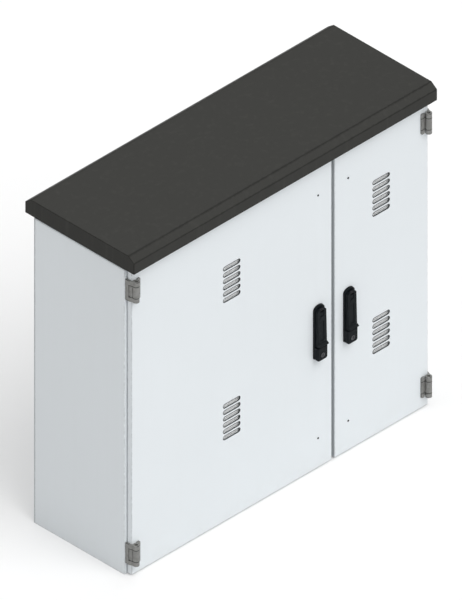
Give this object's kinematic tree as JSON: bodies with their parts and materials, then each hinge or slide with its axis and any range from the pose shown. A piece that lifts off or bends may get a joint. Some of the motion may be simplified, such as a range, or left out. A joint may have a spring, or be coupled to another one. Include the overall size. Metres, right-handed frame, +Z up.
{
  "type": "roadside utility cabinet",
  "caption": "Free-standing outdoor utility cabinet with a wide and a narrow front door, swing handles, slotted vents and a dark overhanging roof cap.",
  "frame": {"origin": "centre of the base on the ground, at the centre of the plinth hole rectangle", "axes": "+X to the right seen from the front, +Y to the back, +Z up; the doors are on the -Y side"},
  "size_m": [1.108, 0.4008, 1.019],
  "materials": {
    "body_paint": "light grey powder coat, fine texture",
    "roof_paint": "dark grey powder coat, fine texture",
    "handle_black": "black coated die casting, satin",
    "cast_zinc": "grey zinc die casting, satin",
    "galvanised_steel": "zinc coated, faint spangle",
    "steel": "zinc plated",
    "lock_metal": "satin chrome",
    "brass": "bare",
    "gasket_rubber": "foamed rubber",
    "guide_nylon": "moulded, matt",
    "filter_fleece": "white non-woven fleece"
  },
  "bodies": {
    "cabinet": {"side_panel_left": "body_paint", "side_panel_right": "body_paint", "back_panel": "body_paint", "back_panel_rivets": "steel", "roof_rails": "galvanised_steel", "top_panel": "body_paint", "roof_bolts": "steel", "roof_cap": "roof_paint", "base_sill_front": "body_paint", "base_sill_back": "body_paint", "centre_mullion": "body_paint", "support_angle_left": "galvanised_steel", "support_angle_right": "galvanised_steel", "cable_rail": "galvanised_steel", "mounting_plate_left": "galvanised_steel", "mounting_plate_right": "galvanised_steel", "plate_standoffs": "steel", "plate_screws": "steel", "earth_stud": "brass", "hinge_frame_screws": "steel", "hinge_frame_leaf_left_lower": "cast_zinc", "hinge_frame_leaf_left_upper": "cast_zinc", "hinge_frame_leaf_right_lower": "cast_zinc", "hinge_frame_leaf_right_upper": "cast_zinc"},
    "left_door": {"door_panel_left": "body_paint", "door_gasket_left": "gasket_rubber", "door_screws_left": "steel", "handle_base_left": "handle_black", "hinge_pins_left": "steel", "rod_guides_left": "guide_nylon", "rod_guide_rivets_left": "steel", "vent_cassettes_left": "galvanised_steel", "filter_mats_left": "filter_fleece", "hinge_door_leaf_left_lower": "cast_zinc", "hinge_door_leaf_left_upper": "cast_zinc"},
    "left_spindle": {"spindle_left": "steel", "cam_left": "steel"},
    "left_lever": {"lever_left": "handle_black", "lever_pin_left": "steel"},
    "left_lock": {"lock_barrel_left": "lock_metal"},
    "left_rod_upper": {"rod_upper_left": "steel"},
    "left_rod_lower": {"rod_lower_left": "steel"},
    "right_door": {"door_panel_right": "body_paint", "door_gasket_right": "gasket_rubber", "door_screws_right": "steel", "handle_base_right": "handle_black", "hinge_pins_right": "steel", "rod_guides_right": "guide_nylon", "rod_guide_rivets_right": "steel", "vent_cassettes_right": "galvanised_steel", "filter_mats_right": "filter_fleece", "hinge_door_leaf_right_lower": "cast_zinc", "hinge_door_leaf_right_upper": "cast_zinc"},
    "right_spindle": {"spindle_right": "steel", "cam_right": "steel"},
    "right_lever": {"lever_right": "handle_black", "lever_pin_right": "steel"},
    "right_lock": {"lock_barrel_right": "lock_metal"},
    "right_rod_upper": {"rod_upper_right": "steel"},
    "right_rod_lower": {"rod_lower_right": "steel"}
  },
  "joints": [
    {"name": "left_door_hinge", "type": "hinge", "parent": "cabinet", "child": "left_door", "pos_m": [-0.5345, -0.1922, 0.483], "axis": [0, 0, 1], "range_deg": [-120, 0]},
    {"name": "left_handle_turn", "type": "hinge", "parent": "left_door", "child": "left_spindle", "pos_m": [0.13965, -0.1828, 0.481], "axis": [0, 1, 0], "range_deg": [0, 90]},
    {"name": "left_lever_swing", "type": "hinge", "parent": "left_spindle", "child": "left_lever", "pos_m": [0.13965, -0.1935, 0.509], "axis": [-1, 0, 0], "range_deg": [0, 60]},
    {"name": "left_key_turn", "type": "hinge", "parent": "left_door", "child": "left_lock", "pos_m": [0.13965, -0.1828, 0.368], "axis": [0, 1, 0], "range_deg": [0, 90]},
    {"name": "left_rod_upper_slide", "type": "slide", "parent": "left_door", "child": "left_rod_upper", "axis": [0, 0, 1], "range_m": [-0.018, 0]},
    {"name": "left_rod_lower_slide", "type": "slide", "parent": "left_door", "child": "left_rod_lower", "axis": [0, 0, 1], "range_m": [0, 0.018]},
    {"name": "right_door_hinge", "type": "hinge", "parent": "cabinet", "child": "right_door", "pos_m": [0.5345, -0.1922, 0.483], "axis": [0, 0, 1], "range_deg": [0, 120]},
    {"name": "right_handle_turn", "type": "hinge", "parent": "right_door", "child": "right_spindle", "pos_m": [0.24965, -0.1828, 0.481], "axis": [0, 1, 0], "range_deg": [-90, 0]},
    {"name": "right_lever_swing", "type": "hinge", "parent": "right_spindle", "child": "right_lever", "pos_m": [0.24965, -0.1935, 0.509], "axis": [-1, 0, 0], "range_deg": [0, 60]},
    {"name": "right_key_turn", "type": "hinge", "parent": "right_door", "child": "right_lock", "pos_m": [0.24965, -0.1828, 0.368], "axis": [0, 1, 0], "range_deg": [-90, 0]},
    {"name": "right_rod_upper_slide", "type": "slide", "parent": "right_door", "child": "right_rod_upper", "axis": [0, 0, 1], "range_m": [-0.018, 0]},
    {"name": "right_rod_lower_slide", "type": "slide", "parent": "right_door", "child": "right_rod_lower", "axis": [0, 0, 1], "range_m": [0, 0.018]}
  ],
  "couplings": [
    {"joint": "left_rod_upper_slide", "follows": "left_handle_turn", "m_per_rad": -0.011459},
    {"joint": "left_rod_lower_slide", "follows": "left_handle_turn", "m_per_rad": 0.011459},
    {"joint": "right_rod_upper_slide", "follows": "right_handle_turn", "m_per_rad": 0.011459},
    {"joint": "right_rod_lower_slide", "follows": "right_handle_turn", "m_per_rad": -0.011459}
  ]
}
